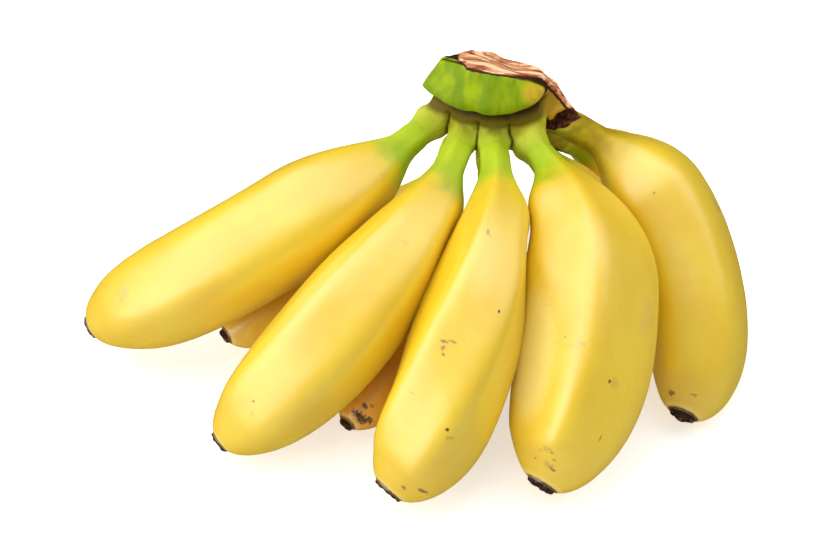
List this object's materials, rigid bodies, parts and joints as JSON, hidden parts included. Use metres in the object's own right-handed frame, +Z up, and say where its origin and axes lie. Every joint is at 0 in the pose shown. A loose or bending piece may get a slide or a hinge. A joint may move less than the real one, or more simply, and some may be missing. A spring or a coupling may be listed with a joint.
{
  "type": "hand of bananas",
  "caption": "Small hand of short, plump yellow bananas in two rows on one green crown, lying on a surface.",
  "frame": {"origin": "on the surface that the hand rests on, below the middle of its bounding box", "axes": "+Z up; +Y back, towards the crown, so that the fruits point to -Y; +X to the right seen from the front"},
  "size_m": [0.189, 0.1206, 0.0732],
  "materials": {
    "banana_peel": "ripe banana peel: waxy yellow skin, yellow-green stalks, green crown, dried dark brown flower ends and a fibrous brown cut"
  },
  "bodies": {
    "root": {"banana_hand": "banana_peel"}
  },
  "joints": []
}
